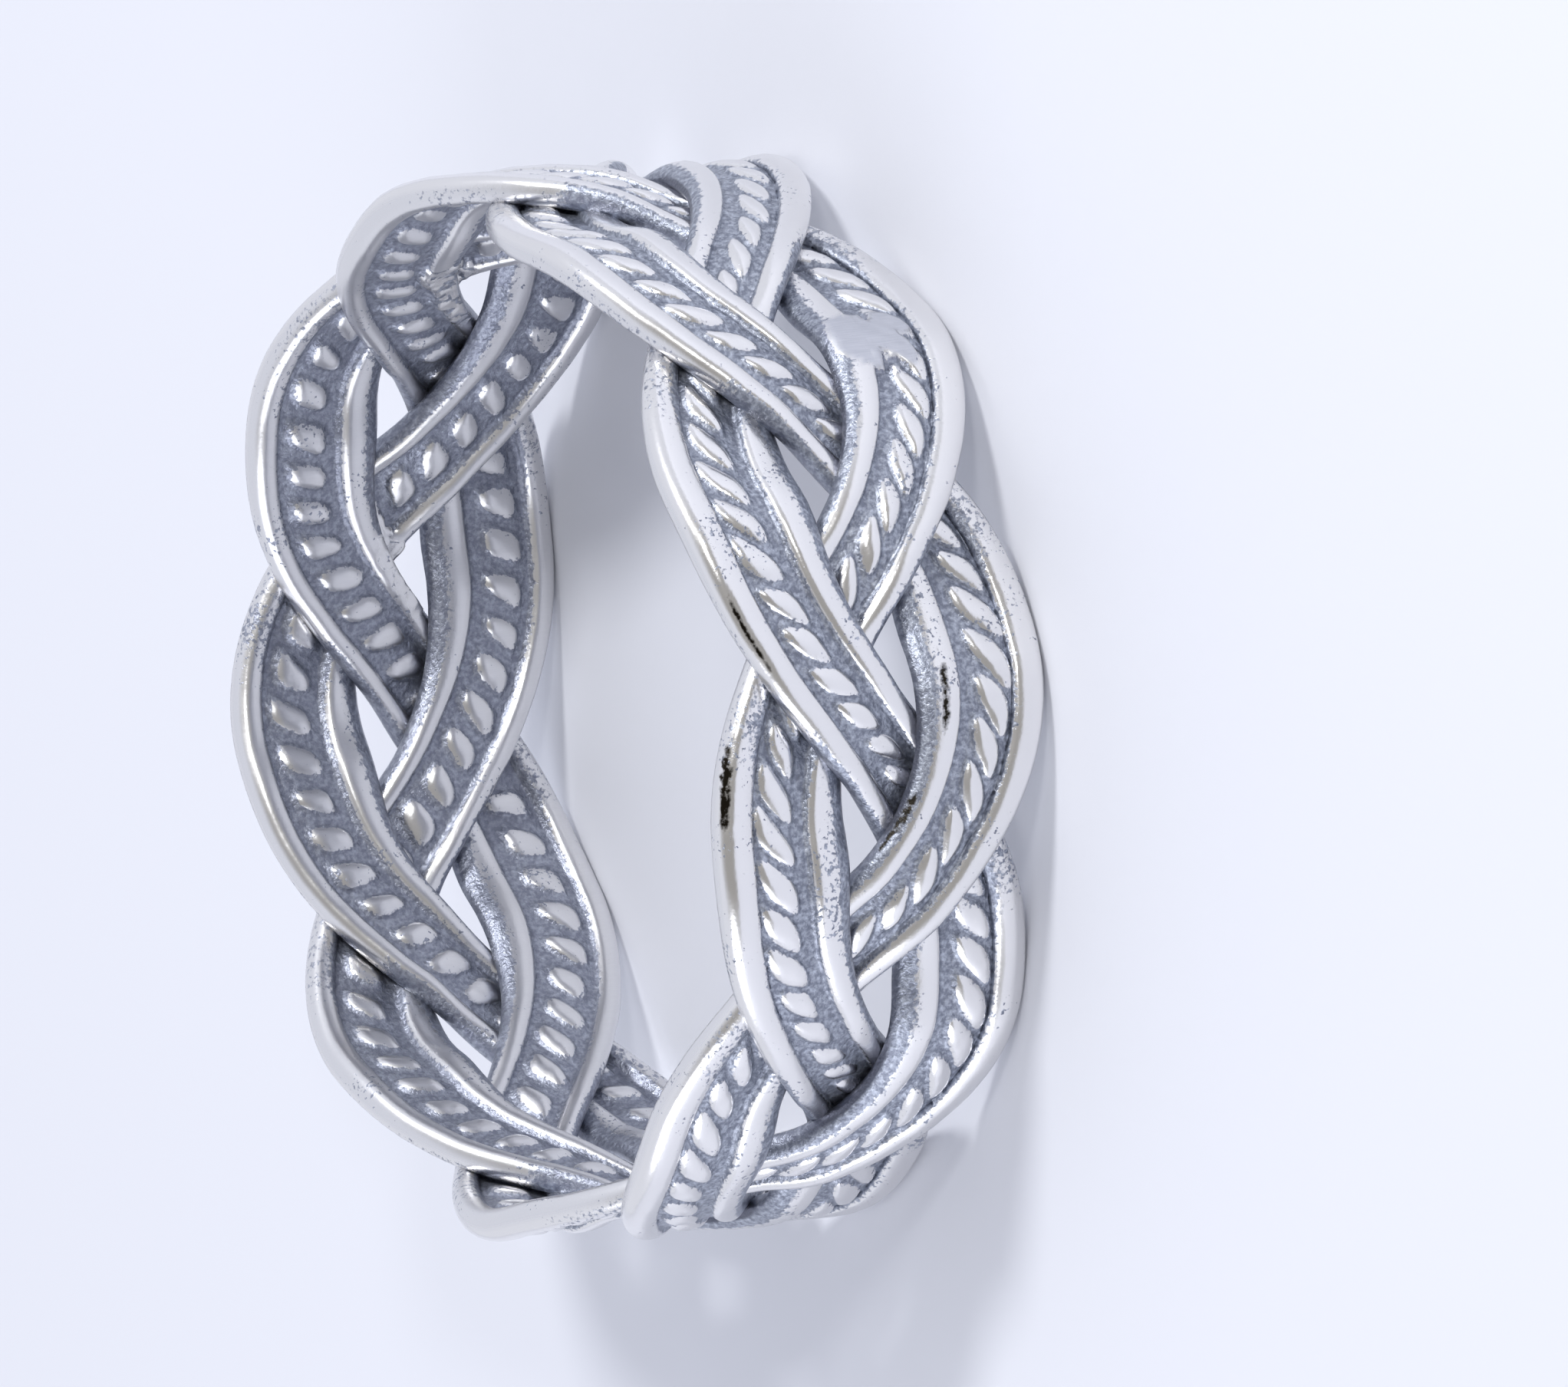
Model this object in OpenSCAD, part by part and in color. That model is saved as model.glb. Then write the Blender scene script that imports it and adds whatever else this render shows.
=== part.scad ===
// Braided band ring: three strands plaited once round the finger.
// Each strand is one closed solid: a twisted rope soldered between two plain edge wires.
// The ring lies on one rim. Z is the axis of the finger hole and z = 0 is what the ring rests on.

/* [Ring] */
// Clear diameter inside the plait, about a US size 8
bore_d = 18.2; // [17:0.1:20]
// Thickness of the band where one strand crosses another
wall = 1.15; // [1.1:0.05:1.3]
// Width of the band from rim to rim
band_w = 7.0; // [6.8:0.1:7.4]

/* [Plait] */
// Width of one strand over its two edge wires
strand_w = 2.33; // [2.2:0.01:2.4]
// Clear gap between two strands where they cross
strand_gap = 0.17; // [0.16:0.01:0.2]
// How much narrower a strand is where it crosses the middle of the band
pinch = 0.3; // [0.24:0.01:0.36]
// Extra thickness of a strand at its lobes, where nothing lies over it
lobe_swell = 0.08; // [0:0.01:0.12]
// How far each lobe is flattened towards the rim
lobe_flat = 0.1; // [0:0.01:0.15]
// How far a lobe's inner edge reaches into the pierced opening beside it
web = 0.46; // [0:0.02:0.5]
// Angle of the first lobe on the upper rim
first_lobe = 20; // [0:1:39]

/* [Rope and edge wires] */
// Width of one edge wire
wire_w = 0.5; // [0.45:0.01:0.55]
// Width of the rope between the edge wires
rope_w = 0.86; // [0.7:0.01:0.9]
// Depth of the grooves on both sides of the rope
groove = 0.13; // [0.05:0.01:0.15]
// Depth of the dip between two turns of the rope
dip = 0.14; // [0.05:0.01:0.15]
// Turns of the rope in one wave of the strand
turns = 27; // [24:1:27]
// How far a turn of the rope leans along the strand for each mm across it, outside the ring
lean = 0.95; // [0.8:0.05:1.3]
// The same for the turns on the inside of the ring
inner_lean = 0.4; // [0.3:0.05:0.8]

/* [Hidden] */
STRANDS = 3;
WAVES = 3; // waves of each strand in one turn round the finger
LOBES = STRANDS * WAVES; // lobes on each rim
mid_r = (bore_d + wall) / 2; // radius of the middle of the wall
amp = (band_w - strand_w) / 2 + lobe_flat; // half the plait's side to side travel
strand_t = (wall - strand_gap) / 2; // thickness of a strand where it crosses another
lift = (wall - strand_t) / 2; // how far a strand moves outwards to pass over another
SQUARE = 0.28; // a small value gives an abrupt step from under to over in mid-band
SOFT = 0.2; // added to it at the lobes, where the step is gentle
SKEW = 5; // degrees that the step moves along the wave for each mm across the strand
SWELL_KEEPS = 8; // how closely the extra thickness keeps to a lobe
WEB_KEEPS = 1.5; // how closely the reach into an opening keeps to a lobe
rings = 2 * turns * WAVES; // sections round a strand, two to each turn of the rope
WAVY = 1.16; // length of a waving strand for each mm round the ring
ring_step = 2 * PI * mid_r * WAVY / rings; // mm along a strand from one section to the next
EVEN = 3.9; // degrees that spread the rope's turns evenly along the wave
crest_v = strand_w / 2 - wire_w / 2; // where an edge wire is highest
EDGE_H = 0.42; // height of an edge wire's side, as a share of half its thickness
groove_v = (crest_v - wire_w / 2 + rope_w / 2) / 2; // middle of a groove
ROPE_V = 0.6; // where a turn of the rope is highest, as a share of half its width

// Columns of the section's table, one row to each point round a strand
ACROSS = 0; // mm across the strand from its middle
HEIGHT = 1; // share of half the thickness, positive towards the outside of the ring
CUT = 2; // mm taken off that height everywhere
TWIST = 3; // mm taken off that height between two turns of the rope
HALF = [
    [-strand_w / 2, EDGE_H, 0, 0],
    [-crest_v, 1, 0, 0],
    [-groove_v, 1, groove, 0],
    [-rope_w / 2 * ROPE_V, 1, 0, dip],
    [rope_w / 2 * ROPE_V, 1, 0, dip],
    [groove_v, 1, groove, 0],
    [crest_v, 1, 0, 0],
    [strand_w / 2, EDGE_H, 0, 0],
];
SECTION = concat(HALF, [for (p = HALF) [-p[ACROSS], -p[HEIGHT], p[CUT], p[TWIST]]]);
SIDES = len(SECTION);

// Angle along the wave of ring i, with the rope's turns evenly spaced along the strand
function wave_angle(i) = let (u = 360 * WAVES * i / rings) u - EVEN * sin(2 * u);

// Side to side place of a strand's middle, and its slope in the unrolled band
function side(w) = amp * sin(w) + lobe_flat * sin(3 * w);
function slope(w) = WAVES * (amp * cos(w) + 3 * lobe_flat * cos(3 * w)) / mid_r;

// Outwards step of a strand: it passes over, then under, at each crossing
function step(w) =
    let (s = sin(2 * w), e = SQUARE + SOFT * sin(w) ^ 2)
    lift * s * sqrt((1 + e ^ 2) / (s ^ 2 + e ^ 2));

// Extra reach of a strand's edge into a pierced opening; edge is -1 or 1, and 0 elsewhere
function reach(w, edge) = web * edge * max(0, -edge * sin(w)) ^ WEB_KEEPS;

// Share of its full width that a strand has
function width_share(w) = 1 - pinch / strand_w * cos(w) ^ 2;

// Half thickness, which swells at the lobes
function half_t(w) = strand_t / 2 + lobe_swell / 2 * sin(w) ^ SWELL_KEEPS;

// Point j of ring i: the rope's and the grooves' points run ahead or lag, so that each turn leans
function strand_point(i, j, turn) =
    let (
        p = SECTION[j],
        face = sign(p[HEIGHT]),
        shear = face > 0 ? lean : -inner_lean,
        ahead = p[CUT] + p[TWIST] > 0 ? shear * p[ACROSS] / ring_step : 0,
        w = wave_angle(i + ahead),
        edge = abs(p[HEIGHT]) < 1 ? sign(p[ACROSS]) : 0,
        v = p[ACROSS] * width_share(w) + reach(w, edge),
        tilt = sqrt(1 + slope(w) ^ 2),
        fall = p[CUT] + p[TWIST] * (i % 2),
        h = p[HEIGHT] * half_t(w) - face * fall,
        r = mid_r + step(w + SKEW * v * cos(w)) + h,
        a = (w - 90) / WAVES - turn * 360 / LOBES + first_lobe - v * slope(w) / tilt / mid_r * 180 / PI
    )
    [r * cos(a), r * sin(a), band_w / 2 + side(w) + v / tilt];

module strand(turn) {
    points = [for (i = [0:rings - 1]) for (j = [0:SIDES - 1]) strand_point(i, j, turn)];
    faces = [
        for (i = [0:rings - 1]) for (j = [0:SIDES - 1])
            let (i2 = (i + 1) % rings, j2 = (j + 1) % SIDES)
            each [
                [i * SIDES + j, i * SIDES + j2, i2 * SIDES + j2],
                [i * SIDES + j, i2 * SIDES + j2, i2 * SIDES + j],
            ]
    ];
    polyhedron(points, faces, convexity = 10);
}

module first_strand() {
    color("silver") strand(0);
}

module second_strand() {
    color("lightgray") strand(1);
}

module third_strand() {
    color("gainsboro") strand(2);
}

first_strand();
second_strand();
third_strand();
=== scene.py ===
"""Looks of a braided band ring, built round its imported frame.

Three flat strands are plaited once round the finger. Each is a twisted rope between two plain edge
wires, in sterling silver that was darkened and then polished on its high points. The ring lies on
one rim, with z = 0 the floor under it. The scene is in metres and in the frame's axes. The classes
hold their sizes in mm, and scale them as the points go into a mesh.
"""

import logging
import math
import random
from dataclasses import dataclass, field
from enum import Enum
from typing import ClassVar

import bmesh
import bpy
from mathutils import Matrix, Vector, noise


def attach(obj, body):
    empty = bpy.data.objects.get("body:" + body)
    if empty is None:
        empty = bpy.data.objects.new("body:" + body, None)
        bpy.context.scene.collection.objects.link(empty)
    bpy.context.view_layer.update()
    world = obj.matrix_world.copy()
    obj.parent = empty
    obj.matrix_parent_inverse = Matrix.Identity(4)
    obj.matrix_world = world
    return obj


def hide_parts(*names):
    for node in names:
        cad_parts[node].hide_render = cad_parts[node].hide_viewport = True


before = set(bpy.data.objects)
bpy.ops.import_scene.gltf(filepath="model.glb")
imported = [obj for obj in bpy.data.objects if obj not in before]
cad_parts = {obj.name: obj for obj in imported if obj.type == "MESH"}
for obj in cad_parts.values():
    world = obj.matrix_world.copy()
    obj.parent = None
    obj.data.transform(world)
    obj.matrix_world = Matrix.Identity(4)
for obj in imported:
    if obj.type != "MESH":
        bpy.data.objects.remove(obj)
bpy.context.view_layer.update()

LOG = logging.getLogger("braided_ring")
MM = 0.001

# Inputs and output of a Mix node for colours, which go by number because their names repeat
MIX_SHARE, MIX_FIRST, MIX_SECOND, MIX_OUT = 0, 6, 7, 2


def to_linear(hex_colour: str) -> tuple[float, float, float, float]:
    """Turns an sRGB colour into linear light.

    Args:
        hex_colour: six hex digits after a hash sign.

    Returns:
        Red, green and blue in linear light, and an alpha of 1.
    """
    parts = [int(hex_colour[i : i + 2], 16) / 255 for i in (1, 3, 5)]
    lit = [c / 12.92 if c <= 0.04045 else ((c + 0.055) / 1.055) ** 2.4 for c in parts]
    return (lit[0], lit[1], lit[2], 1.0)


def smoothstep(low: float, high: float, x: float) -> float:
    """Eases from 0 at low to 1 at high."""
    t = min(1.0, max(0.0, (x - low) / (high - low)))
    return t * t * (3 - 2 * t)


def add_node(
    tree: bpy.types.NodeTree, kind: str, settings: dict | None = None, links: dict | None = None
) -> bpy.types.Node:
    """Adds one shader node.

    Args:
        tree: the node tree that it goes into.
        kind: the node's type name.
        settings: values by the name of a property or an input.
        links: output sockets by the name or number of the input that each one feeds. The inputs of
            a Math node go by number, because they share one name.

    Returns:
        The new node.
    """
    node = tree.nodes.new(kind)
    for name, value in (settings or {}).items():
        if isinstance(name, int) or name in node.inputs:
            node.inputs[name].default_value = value
        else:
            setattr(node, name, value)
    for name, socket in (links or {}).items():
        tree.links.new(socket, node.inputs[name])
    return node


class Zone(Enum):
    """Part of a strand's section that a column of points belongs to."""

    SIDE = "side"
    WIRE = "wire"
    FLOOR = "floor"
    ROPE = "rope"


@dataclass(frozen=True)
class Column:
    """One line of points along a strand.

    Attributes:
        face: 1 on the outside of the ring and -1 inside.
        zone: the part of the section.
        edge: 1 or -1, the side of the strand whose edge wire is nearest.
        share: how far the column lies along its zone, from 0 at the end nearer the wire's crest to 1
            at the other. Over the rope it runs from -1 to 1.
    """

    face: int
    zone: Zone
    edge: int
    share: float


@dataclass(frozen=True)
class Relief:
    """How the wires and the rope stand out of one face of a strand, sizes in mm.

    Attributes:
        wire_w: width of an edge wire.
        rim_gain: how much wider a wire is at the rim, and narrower beside a pierced opening.
        lean: how far a turn of the rope runs along the strand for each mm across it, signed.
        turn_w: smallest and largest half width of a turn, as a share of the turns' spacing.
        turn_reach: smallest and largest half length of a turn.
        mid_stretch: half length of a turn in mid-band, as a multiple of its reach.
        lobe_stretch: what a lobe adds to that multiple.
        blunt: a large value gives blunt, squarish turns.
        polish_spread: a small value takes the polish further down the sides of a turn.
        satin: how satin the polish is, 0 to 1.
        rope_columns: columns of points over the rope.
        wire_columns: columns down the inner slope of each wire.
        floor_columns: columns on each groove's floor.
    """

    wire_w: float
    rim_gain: float
    lean: float
    turn_w: tuple[float, float]
    turn_reach: tuple[float, float]
    mid_stretch: float
    lobe_stretch: float
    blunt: float
    polish_spread: float
    satin: float
    rope_columns: int
    wire_columns: int
    floor_columns: int

    SIDE_COLUMNS: ClassVar[int] = 5

    def columns(self, face: int) -> list[Column]:
        """Lays out the columns of a face, from one side of the strand to the other.

        Args:
            face: 1 outside, -1 inside.

        Returns:
            The columns in order round the section.
        """
        sides, wires, floors = self.SIDE_COLUMNS, self.wire_columns, self.floor_columns
        half = [Column(face, Zone.SIDE, -1, k / sides) for k in range(sides, -1, -1)]
        half += [Column(face, Zone.WIRE, -1, (k + 1) / wires) for k in range(wires)]
        half += [Column(face, Zone.FLOOR, -1, (k + 1) / (floors + 1)) for k in range(floors)]
        back = [Column(face, c.zone, 1, c.share) for c in reversed(half[1:])]
        last = self.rope_columns - 1
        line = half + [Column(face, Zone.ROPE, 1, -1 + 2 * k / last) for k in range(last + 1)] + back
        if face > 0:
            return line
        return [
            Column(face, c.zone, -c.edge, -c.share if c.zone is Zone.ROPE else c.share) for c in line
        ]


# By face: broad turns with a strong lean outside the ring, and narrow ones with a slight lean the
# other way inside it, where the polish is a little satin
RELIEF = {
    1: Relief(
        wire_w=0.6, rim_gain=0.1, lean=0.95, turn_w=(0.43, 0.5), turn_reach=(0.40, 0.47),
        mid_stretch=0.76, lobe_stretch=0.24, blunt=2.3, polish_spread=0.5, satin=0.0,
        rope_columns=21, wire_columns=4, floor_columns=2,
    ),
    -1: Relief(
        wire_w=0.5, rim_gain=0.04, lean=-0.4, turn_w=(0.33, 0.41), turn_reach=(0.36, 0.42),
        mid_stretch=1.28, lobe_stretch=-0.16, blunt=2.4, polish_spread=0.6, satin=0.3,
        rope_columns=13, wire_columns=3, floor_columns=1,
    ),
}


@dataclass(frozen=True)
class Plait:
    """Path of the plaited strands, sizes in mm.

    A wave takes a strand from one rim to the other and back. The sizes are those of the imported
    solids, but for four. strand_gap is a hair under 0, so that the strands sink into each other at
    a crossing, as soldered metal does. square is larger, which softens the step from under to over
    in mid-band. slim and short draw the wall and the band a hair smaller, so that nothing leaves
    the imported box.

    Attributes:
        bore_d: clear diameter inside the plait.
        wall: thickness of the band where one strand crosses another.
        band_w: width of the band from rim to rim.
        strand_w: width of one strand over its two edge wires.
        strand_gap: clear gap between two strands where they cross.
        pinch: how much narrower a strand is in mid-band.
        lobe_swell: extra thickness of a strand at its lobes.
        lobe_flat: how far each lobe is flattened towards the rim.
        first_lobe: angle of the first lobe on the upper rim, in degrees.
        square: a small value gives an abrupt step from under to over in mid-band.
        soft: what is added to square at the lobes.
        web: how far a lobe's inner edge reaches into the pierced opening beside it.
        web_keeps: how closely that reach keeps to a lobe.
        swell_keeps: how closely the extra thickness keeps to a lobe.
        skew: degrees that the step moves along the wave for each mm across the strand.
        even: degrees that spread the rope's turns evenly along the wave.
        wavy: length of a strand that the solids reckon with for each mm round the ring.
        waves: waves of a strand in one turn round the finger.
        lobes: lobes on each rim.
        slim: share of the wall's thickness that is drawn.
        short: share of the band's width that is drawn.
    """

    bore_d: float = 18.2
    wall: float = 1.15
    band_w: float = 7.0
    strand_w: float = 2.33
    strand_gap: float = -0.05
    pinch: float = 0.3
    lobe_swell: float = 0.08
    lobe_flat: float = 0.1
    first_lobe: float = 20.0
    square: float = 0.5
    soft: float = 0.2
    web: float = 0.46
    web_keeps: float = 1.5
    swell_keeps: float = 8
    skew: float = 5.0
    even: float = 3.9
    wavy: float = 1.16
    waves: int = 3
    lobes: int = 9
    slim: float = 0.97
    short: float = 0.998

    @property
    def mid_r(self) -> float:
        """Radius of the middle of the wall."""
        return (self.bore_d + self.wall) / 2

    @property
    def amp(self) -> float:
        """Half the side to side travel of a strand."""
        return (self.band_w - self.strand_w) / 2 + self.lobe_flat

    @property
    def strand_t(self) -> float:
        """Thickness of a strand where it crosses another."""
        return (self.wall - self.strand_gap) / 2

    def side(self, w: float) -> float:
        """Side to side place of a strand's middle at wave angle w."""
        return self.amp * math.sin(w) + self.lobe_flat * math.sin(3 * w)

    def slope(self, w: float) -> float:
        """Slope of a strand in the unrolled band at wave angle w."""
        return self.waves * (self.amp * math.cos(w) + 3 * self.lobe_flat * math.cos(3 * w)) / self.mid_r

    def step(self, w: float) -> float:
        """Works out how far a strand steps outwards: over, then under, at each crossing.

        Args:
            w: wave angle in radians.

        Returns:
            The step in mm, less than 0 where the strand passes under.
        """
        s, e = math.sin(2 * w), self.square + self.soft * math.sin(w) ** 2
        lift = (self.wall - self.strand_t) / 2
        return lift * s * math.sqrt((1 + e * e) / (s * s + e * e))

    def half_t(self, w: float) -> float:
        """Half a strand's thickness, which swells at the lobes."""
        return self.strand_t / 2 + self.lobe_swell / 2 * math.sin(w) ** self.swell_keeps

    def width_share(self, w: float) -> float:
        """Share of its full width that a strand has."""
        return 1 - self.pinch / self.strand_w * math.cos(w) ** 2

    def place(self, start_lobe: int, w: float, v: float, out: float) -> tuple[float, float, float]:
        """Places a point of a strand in the ring.

        Args:
            start_lobe: number of the lobe that the strand starts from.
            w: wave angle in radians.
            v: distance from the strand's middle line, across the strand.
            out: distance outwards from the middle of the strand's thickness.

        Returns:
            The radius, the angle round the ring in radians, and the height over the floor.
        """
        tilt = math.sqrt(1 + self.slope(w) ** 2)
        r = self.mid_r + self.step(w + math.radians(self.skew * v) * math.cos(w)) + out
        angle = (w - math.pi / 2) / self.waves - start_lobe * 2 * math.pi / self.lobes
        angle += math.radians(self.first_lobe)
        angle -= v * self.slope(w) / tilt / self.mid_r
        return r, angle, self.band_w / 2 + self.side(w) + v / tilt


def polish(share: float) -> float:
    """How far a polishing wheel reaches at a share of the relief's height.

    Args:
        share: 0 on a groove's floor and 1 on a crest.

    Returns:
        The share itself on the upper half, 0 in the crevice at the foot of a wire or a turn of rope, and a
        little over 0 on the open floor, which comes out lighter than a crevice. The dark film in the
        crevice is partly patina and partly painted shade.
    """
    if share > 0.5:
        return share
    return max(0.0, 0.1 - 0.3 * smoothstep(0.0, 0.2, share) + 0.7 * smoothstep(0.3, 0.5, share))


@dataclass(frozen=True)
class RopeTurn:
    """One turn of the rope as it was cast: no two are quite alike.

    Attributes:
        width: half its width, as a share of the turns' spacing.
        reach: half its length in mm.
        height: how far its top stands over the others in mm, 0 or less.
        taper: how much wider one end is than its middle, as a share.
        shift: how far it lies from the middle line of the rope in mm.
    """

    width: float
    reach: float
    height: float
    taper: float
    shift: float

    HEIGHTS: ClassVar[tuple[float, float]] = (-0.035, 0.0)
    TAPERS: ClassVar[tuple[float, float]] = (-0.35, 0.25)
    SHIFTS: ClassVar[tuple[float, float]] = (-0.03, 0.03)

    @classmethod
    def cast(cls, rng: random.Random, relief: Relief) -> "RopeTurn":
        """Draws one turn.

        Args:
            rng: where the draws come from.
            relief: the relief of the turn's face.

        Returns:
            A turn that differs a little from the others.
        """
        return cls(
            width=rng.uniform(*relief.turn_w),
            reach=rng.uniform(*relief.turn_reach),
            height=rng.uniform(*cls.HEIGHTS),
            taper=rng.uniform(*cls.TAPERS),
            shift=rng.uniform(*cls.SHIFTS),
        )


@dataclass
class Spot:
    """One point of a strand's surface, sizes in mm.

    Attributes:
        r: distance from the axis of the finger hole.
        angle: angle round that axis in radians.
        z: height over the floor.
        above: height over the groove's floor.
        rub_and_shade: how far the polishing wheel got to it, up to 1, lowered as painted shade in the
            crevices and where the strand passes under another. It is under 0 where the strand is most
            sheltered.
        satin: how satin its polish is, 0 to 1.
        stain: how stained it is, 0 to 1.
    """

    r: float
    angle: float
    z: float
    above: float
    rub_and_shade: float
    satin: float
    stain: float = 0.0

    def place(self) -> Vector:
        """The point in mm along the frame's axes."""
        return Vector((self.r * math.cos(self.angle), self.r * math.sin(self.angle), self.z))


@dataclass(frozen=True)
class WornPatch:
    """Metal that fills the relief, such as solder filed flush or a rubbed spot.

    Attributes:
        face: 1 outside, -1 inside.
        angle: angle of its middle round the ring, in degrees.
        z: height of its middle over the middle of the band in mm.
        half_angle: half its length round the ring, in degrees.
        half_z: half its height in mm.
        fill: height of its surface as a share of the relief's.
        rough: how uneven that surface is.
        veins: how much dark silver is left in its hollows.
        satin: 1 for filed metal and 0 for metal that was polished bright.
    """

    face: int
    angle: float
    z: float
    half_angle: float
    half_z: float
    fill: float
    rough: float
    veins: float
    satin: float

    # The outline draws back in the grooves and reaches out as fingers along the turns of the rope.
    # LEVEL is the relief at which it does neither.
    DRAW_BACK: ClassVar[float] = 0.3
    FINGERS: ClassVar[float] = 0.7
    LEVEL: ClassVar[float] = 0.43
    FRAY: ClassVar[float] = 0.2
    EDGE: ClassVar[tuple[float, float]] = (0.85, 1.05)  # where it begins to thin out, and ends
    VEIN_DEPTH: ClassVar[float] = 0.12  # share of the groove's depth
    VEIN_DARK: ClassVar[float] = 0.8  # share of the polish that a vein takes away

    def weight(self, face: int, angle: float, z: float, raised: float, grain: float) -> float:
        """How much of the patch is at a point.

        Args:
            face: 1 outside, -1 inside.
            angle: angle round the ring in degrees.
            z: height over the middle of the band in mm.
            raised: height of the relief, 0 to 1.
            grain: noise from about -1 to 1, which frays the patch's edge.

        Returns:
            1 well inside the patch and 0 outside it.
        """
        if face != self.face:
            return 0.0
        turn = (angle - self.angle + 180) % 360 - 180
        away = math.hypot(turn / self.half_angle, (z - self.z) / self.half_z)
        frayed = away + self.FRAY * grain + self.DRAW_BACK - self.FINGERS * raised
        return 1 - smoothstep(*self.EDGE, frayed)

    def wear(self, spot: Spot, weight: float, hollow: float, grain: float, groove: float) -> None:
        """Fills the relief at a point up to the patch's surface and dresses it.

        Args:
            spot: the point, which this changes.
            weight: how much of the patch is there.
            hollow: 1 in a hollow of the patch and 0 elsewhere.
            grain: noise from about -1 to 1, for the unevenness of the surface.
            groove: height of the relief in mm.
        """
        vein = self.veins * hollow
        top = groove * (self.fill * (1 + self.rough * grain) - self.VEIN_DEPTH * vein)
        spot.r += self.face * weight * (top - spot.above)
        spot.above += weight * (top - spot.above)
        spot.rub_and_shade = max(spot.rub_and_shade * (1 - weight), weight * (1 - self.VEIN_DARK * vein))
        spot.satin += weight * (self.satin - spot.satin)


@dataclass(frozen=True)
class Pit:
    """A long dark casting pit in an outer edge wire: wave angles in degrees, sizes in mm.

    Attributes:
        start: wave angle of one end, from the strand's start.
        end: wave angle of the other end.
        across: distance of its middle from the strand's middle line.
        width: half its width.
    """

    start: float
    end: float
    across: float
    width: float

    ROUND: ClassVar[float] = 1080.0  # degrees of wave in the whole of a strand
    FRAY: ClassVar[float] = 0.5
    EDGE: ClassVar[tuple[float, float]] = (0.4, 1.2)  # where it begins to shoal, and ends
    DEPTH: ClassVar[float] = 0.02

    def weight(self, wave: float, v: float, grain: float) -> float:
        """How deep the pit is at a point.

        Args:
            wave: angle along the wave in degrees, from the strand's start.
            v: distance from the strand's middle line in mm.
            grain: noise from about -1 to 1, which frays the pit's edge.

        Returns:
            1 in the pit and 0 outside it.
        """
        middle, half = (self.start + self.end) / 2, (self.end - self.start) / 2
        turn = (wave - middle + self.ROUND / 2) % self.ROUND - self.ROUND / 2
        away = math.hypot(turn / half, (v - self.across) / self.width)
        return 1 - smoothstep(*self.EDGE, away + self.FRAY * grain)


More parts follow.
